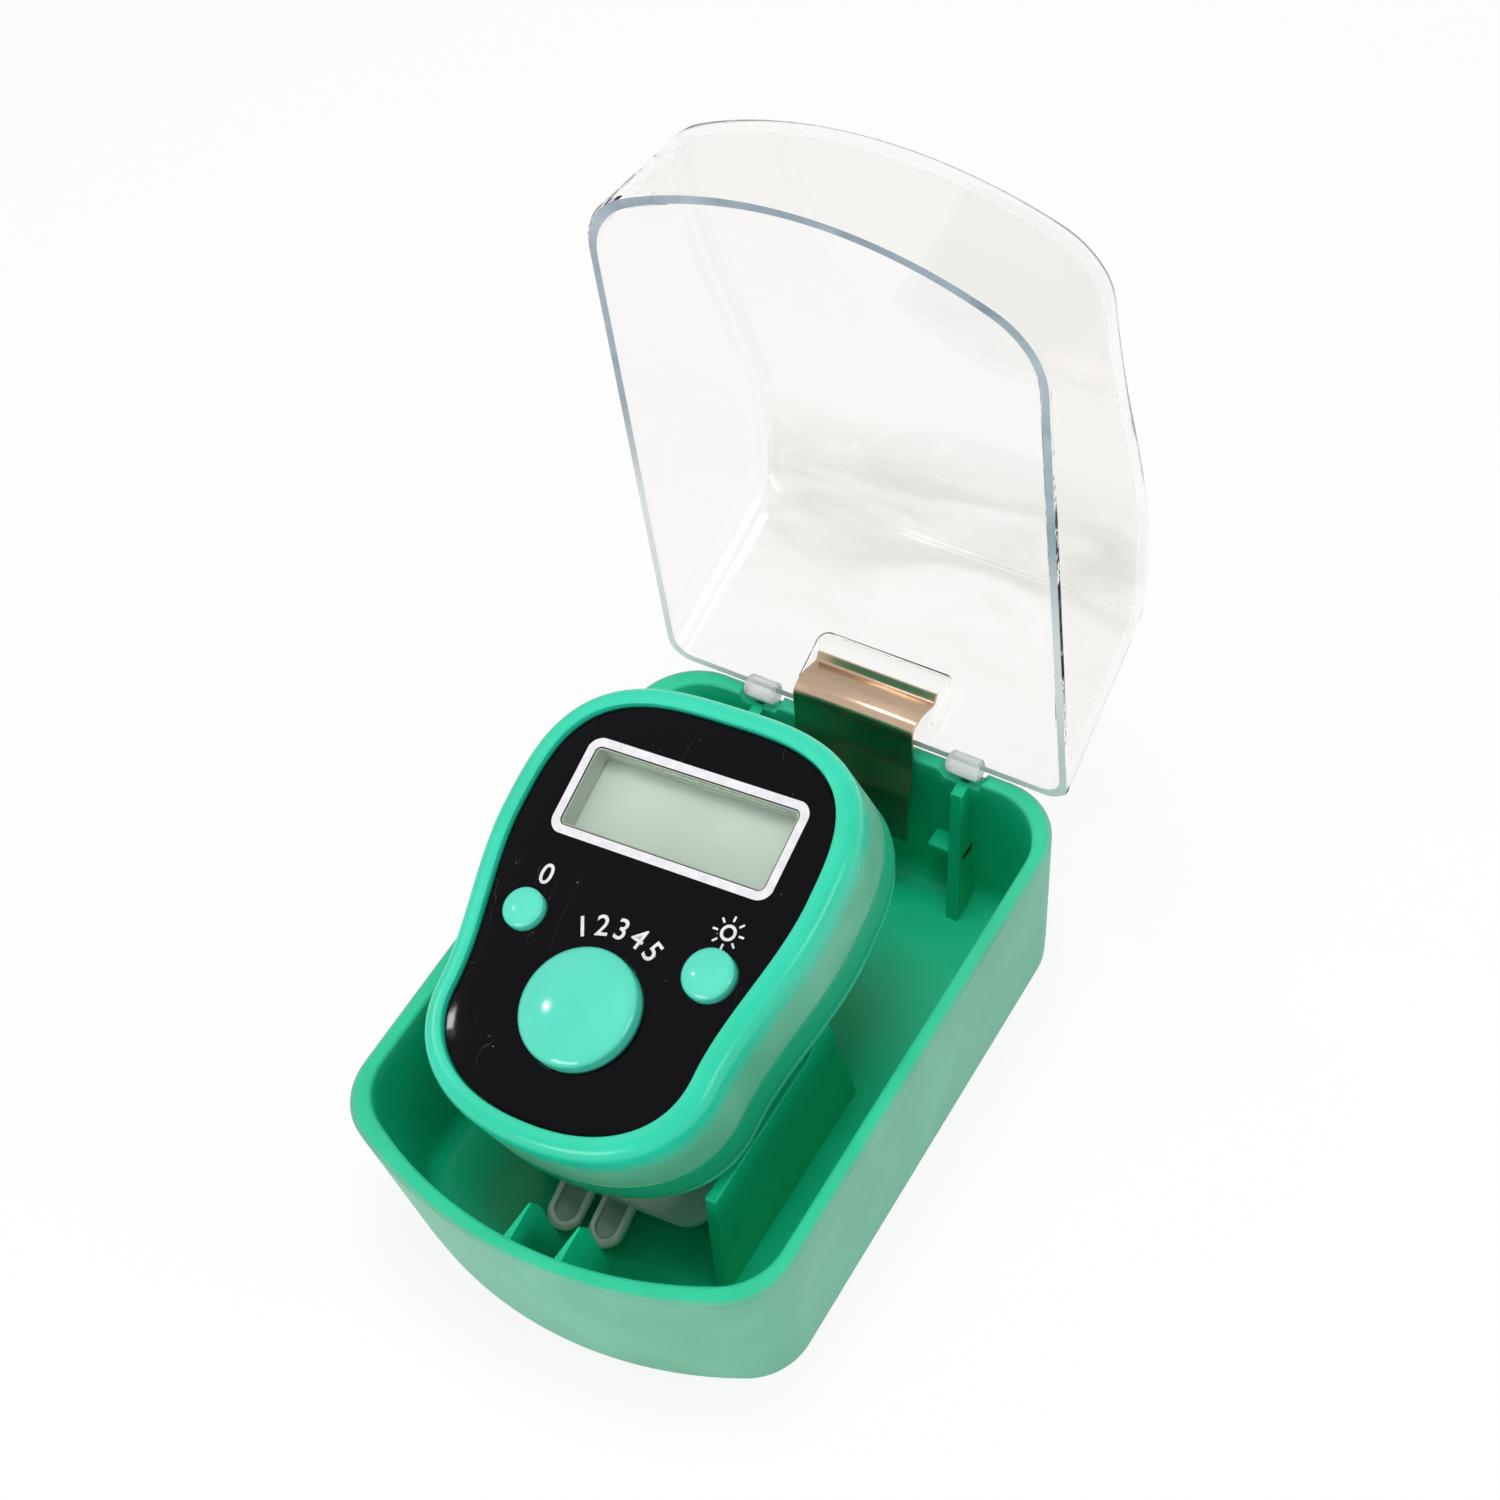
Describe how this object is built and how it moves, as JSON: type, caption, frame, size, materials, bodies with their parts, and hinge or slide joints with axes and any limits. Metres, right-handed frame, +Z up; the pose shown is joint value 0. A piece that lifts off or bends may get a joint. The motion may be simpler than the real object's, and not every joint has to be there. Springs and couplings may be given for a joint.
{
  "type": "digital finger counter",
  "caption": "Digital finger counter with a blank display, push buttons and a soft finger strap, lying in a small hinged box with a solid tray and a clear lid",
  "frame": {"origin": "centre of the tray's flat underside, Z = 0 on that underside", "axes": "+X to the right seen from the front, +Y to the rear where the lid is hinged, +Z up"},
  "size_m": [0.039, 0.0714, 0.0693],
  "materials": {
    "tray_plastic": "moulded, satin outside, smoother inside",
    "shell_plastic": "glossy moulded",
    "button_plastic": "high gloss",
    "clear_lid_plastic": "clear polystyrene, polished, light scuffs",
    "window_plastic": "clear window sheet",
    "black_face": "glossy printed sheet with fine white lines",
    "display_grey": "reflective liquid crystal glass, no segments lit",
    "diffuser_plastic": "milky",
    "dome_rubber": "silicone rubber",
    "board_laminate": "glass fibre board with lacquer",
    "black_epoxy": "poured drop of epoxy",
    "cell_steel": "nickel plated",
    "screw_steel": "nickel plated",
    "contact_brass": "stamped spring brass",
    "spring_steel": "polished spring strip",
    "strap_silicone": "translucent soft silicone"
  },
  "bodies": {
    "tray": {"tray": "tray_plastic", "hinge_spring": "spring_steel"},
    "lid": {"lid": "clear_lid_plastic"},
    "counter": {"front_shell": "shell_plastic", "face_plate": "black_face", "window_lens": "window_plastic", "display_glass": "display_grey", "light_guide": "diffuser_plastic", "backlight_lamp_left": "diffuser_plastic", "backlight_lamp_right": "diffuser_plastic", "elastomer_strip": "dome_rubber", "circuit_board": "board_laminate", "chip_blob": "black_epoxy", "button_cell": "cell_steel", "upper_contact": "contact_brass", "lower_contact": "contact_brass", "count_dome": "dome_rubber", "reset_dome": "dome_rubber", "light_dome": "dome_rubber", "back_cover": "shell_plastic", "cover_screw_head_end": "screw_steel", "cover_screw_left": "screw_steel", "cover_screw_right": "screw_steel", "strap_long": "strap_silicone", "strap_short": "strap_silicone"},
    "count_button": {"count_button": "button_plastic"},
    "reset_button": {"reset_button": "button_plastic"},
    "light_button": {"light_button": "button_plastic"}
  },
  "joints": [
    {"name": "lid_hinge", "type": "hinge", "parent": "tray", "child": "lid", "pos_m": [0, 0.0266, 0.0161], "axis": [-1, 0, 0], "range_deg": [-93.1, 0], "deforming": ["hinge_spring"]},
    {"name": "counter_lift", "type": "slide", "parent": "tray", "child": "counter", "axis": [0, 0, 1], "range_m": [0, 0.04]},
    {"name": "count_press", "type": "slide", "parent": "counter", "child": "count_button", "axis": [0.088, 0.2511, -0.964], "range_m": [0, 0.0006], "stiffness_N_per_m": 2000, "deforming": ["count_dome"]},
    {"name": "reset_press", "type": "slide", "parent": "counter", "child": "reset_button", "axis": [0.088, 0.2511, -0.964], "range_m": [0, 0.0005], "stiffness_N_per_m": 1500, "deforming": ["reset_dome"]},
    {"name": "light_press", "type": "slide", "parent": "counter", "child": "light_button", "axis": [0.088, 0.2511, -0.964], "range_m": [0, 0.0005], "stiffness_N_per_m": 1500, "deforming": ["light_dome"]}
  ]
}
